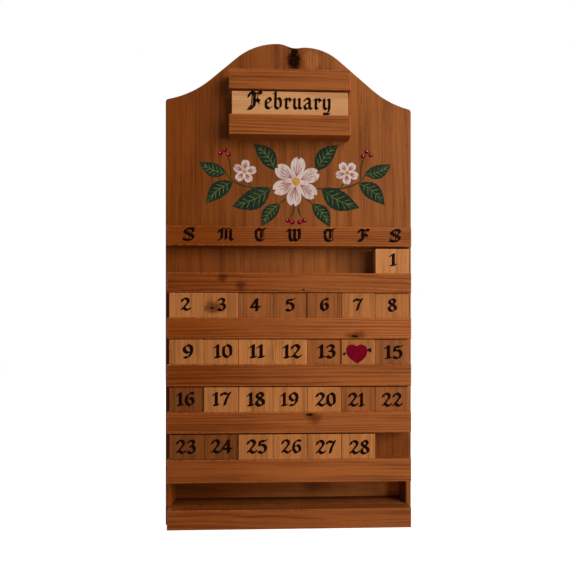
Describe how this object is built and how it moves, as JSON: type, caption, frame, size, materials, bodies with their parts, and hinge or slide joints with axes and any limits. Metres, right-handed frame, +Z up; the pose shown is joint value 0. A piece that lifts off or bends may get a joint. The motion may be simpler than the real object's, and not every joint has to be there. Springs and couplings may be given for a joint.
{
  "type": "perpetual wall calendar",
  "caption": "Stained pine perpetual wall calendar: ogee-topped board with rails that hold loose date tiles and a month plate, and a storage slot at the foot.",
  "frame": {"origin": "middle of the bounding box's bottom, on the surface that the flat foot can stand on", "axes": "+X to the calendar's right as seen from the front, +Y to the back and the wall, +Z up"},
  "size_m": [0.2874, 0.054, 0.5612],
  "materials": {
    "board_pine": "dark honey stain, satin",
    "rail_pine": "honey stain, satin",
    "plate_pine": "pale, clear satin",
    "pale_tile_pine": "pale, satin",
    "honey_tile_pine": "honey, satin",
    "tan_tile_pine": "tan, satin",
    "brown_tile_pine": "brown, satin",
    "box_pine": "stained, matte",
    "panel_ply": "stained, matte",
    "fastener_steel": "zinc",
    "hanger_steel": "zinc"
  },
  "bodies": {
    "root": {"backboard": "board_pine", "weekday_rail": "rail_pine", "date_rail_1": "rail_pine", "date_rail_2": "rail_pine", "date_rail_3": "rail_pine", "date_rail_4": "rail_pine", "date_rail_5": "rail_pine", "base_rail": "rail_pine", "month_rail_lower": "rail_pine", "month_rail_upper": "rail_pine", "month_plate": "plate_pine", "date_tile_01": "pale_tile_pine", "date_tile_02": "honey_tile_pine", "date_tile_03": "honey_tile_pine", "date_tile_04": "tan_tile_pine", "date_tile_05": "tan_tile_pine", "date_tile_06": "tan_tile_pine", "date_tile_07": "honey_tile_pine", "date_tile_08": "honey_tile_pine", "date_tile_09": "honey_tile_pine", "date_tile_10": "honey_tile_pine", "date_tile_11": "honey_tile_pine", "date_tile_12": "honey_tile_pine", "date_tile_13": "tan_tile_pine", "date_tile_14": "tan_tile_pine", "date_tile_15": "tan_tile_pine", "date_tile_16": "brown_tile_pine", "date_tile_17": "honey_tile_pine", "date_tile_18": "honey_tile_pine", "date_tile_19": "honey_tile_pine", "date_tile_20": "honey_tile_pine", "date_tile_21": "tan_tile_pine", "date_tile_22": "tan_tile_pine", "date_tile_23": "brown_tile_pine", "date_tile_24": "brown_tile_pine", "date_tile_25": "honey_tile_pine", "date_tile_26": "honey_tile_pine", "date_tile_27": "honey_tile_pine", "date_tile_28": "honey_tile_pine", "storage_floor": "box_pine", "storage_ceiling": "box_pine", "storage_end_left": "box_pine", "storage_end_right": "box_pine", "top_spacer": "box_pine", "back_panel": "panel_ply", "rail_screws": "fastener_steel", "panel_pins": "fastener_steel", "hanger_nails": "fastener_steel", "sawtooth_hanger": "hanger_steel"}
  },
  "joints": []
}
